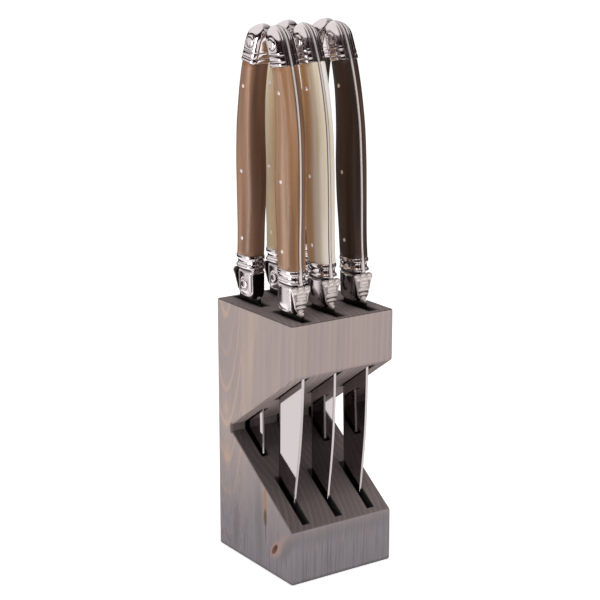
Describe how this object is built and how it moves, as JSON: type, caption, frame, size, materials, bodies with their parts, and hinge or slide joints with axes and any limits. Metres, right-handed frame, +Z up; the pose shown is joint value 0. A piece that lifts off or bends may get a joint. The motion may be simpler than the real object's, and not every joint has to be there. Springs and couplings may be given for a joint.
{
  "type": "knife block with table knives",
  "caption": "Notched wooden block holding upright table knives with curved horn-look handles, polished steel bolsters and pommels and ribbed thumb rests; each knife lifts out of its slot.",
  "frame": {"origin": "centre of the block's underside", "axes": "+Z up along the knives, -Y towards the notched front, +X to the right seen from the front"},
  "size_m": [0.052, 0.058, 0.2335],
  "materials": {
    "wood": "grey stained softwood, open grain, matt",
    "blade_steel": "mirror polished stainless steel",
    "cast_steel": "polished stainless steel with darkened hollows",
    "grip_brown": "glossy horn-look plastic, tan brown",
    "grip_cream": "glossy horn-look plastic, cream with amber",
    "grip_dark": "glossy horn-look plastic, dark brown"
  },
  "bodies": {
    "block": {"board_front_top": "wood", "board_front_base": "wood", "board_middle_top": "wood", "board_middle_base": "wood", "board_back": "wood"},
    "knife_front_left": {"blade_front_left": "blade_steel", "scale_a_front_left": "grip_brown", "scale_b_front_left": "grip_brown", "bolster_a_front_left": "cast_steel", "bolster_b_front_left": "cast_steel", "pommel_a_front_left": "cast_steel", "pommel_b_front_left": "cast_steel", "rest_front_left": "cast_steel", "pins_front_left": "cast_steel"},
    "knife_front_mid": {"blade_front_mid": "blade_steel", "scale_a_front_mid": "grip_cream", "scale_b_front_mid": "grip_cream", "bolster_a_front_mid": "cast_steel", "bolster_b_front_mid": "cast_steel", "pommel_a_front_mid": "cast_steel", "pommel_b_front_mid": "cast_steel", "rest_front_mid": "cast_steel", "pins_front_mid": "cast_steel"},
    "knife_front_right": {"blade_front_right": "blade_steel", "scale_a_front_right": "grip_dark", "scale_b_front_right": "grip_dark", "bolster_a_front_right": "cast_steel", "bolster_b_front_right": "cast_steel", "pommel_a_front_right": "cast_steel", "pommel_b_front_right": "cast_steel", "rest_front_right": "cast_steel", "pins_front_right": "cast_steel"},
    "knife_back_left": {"blade_back_left": "blade_steel", "scale_a_back_left": "grip_brown", "scale_b_back_left": "grip_brown", "bolster_a_back_left": "cast_steel", "bolster_b_back_left": "cast_steel", "pommel_a_back_left": "cast_steel", "pommel_b_back_left": "cast_steel", "rest_back_left": "cast_steel", "pins_back_left": "cast_steel"},
    "knife_back_mid": {"blade_back_mid": "blade_steel", "scale_a_back_mid": "grip_cream", "scale_b_back_mid": "grip_cream", "bolster_a_back_mid": "cast_steel", "bolster_b_back_mid": "cast_steel", "pommel_a_back_mid": "cast_steel", "pommel_b_back_mid": "cast_steel", "rest_back_mid": "cast_steel", "pins_back_mid": "cast_steel"},
    "knife_back_right": {"blade_back_right": "blade_steel", "scale_a_back_right": "grip_dark", "scale_b_back_right": "grip_dark", "bolster_a_back_right": "cast_steel", "bolster_b_back_right": "cast_steel", "pommel_a_back_right": "cast_steel", "pommel_b_back_right": "cast_steel", "rest_back_right": "cast_steel", "pins_back_right": "cast_steel"}
  },
  "joints": [
    {"name": "lift_front_left", "type": "slide", "parent": "block", "child": "knife_front_left", "axis": [-0.0096, -0.0297, 0.9995], "range_m": [0, 0.23]},
    {"name": "lift_front_mid", "type": "slide", "parent": "block", "child": "knife_front_mid", "axis": [-0.0105, 0.0044, 0.9999], "range_m": [0, 0.23]},
    {"name": "lift_front_right", "type": "slide", "parent": "block", "child": "knife_front_right", "axis": [-0.0105, 0.0113, 0.9999], "range_m": [0, 0.23]},
    {"name": "lift_back_left", "type": "slide", "parent": "block", "child": "knife_back_left", "axis": [-0.0061, 0.0026, 1], "range_m": [0, 0.23]},
    {"name": "lift_back_mid", "type": "slide", "parent": "block", "child": "knife_back_mid", "axis": [-0.0105, 0.0349, 0.9993], "range_m": [0, 0.23]},
    {"name": "lift_back_right", "type": "slide", "parent": "block", "child": "knife_back_right", "axis": [-0.0026, 0.0279, 0.9996], "range_m": [0, 0.23]}
  ]
}
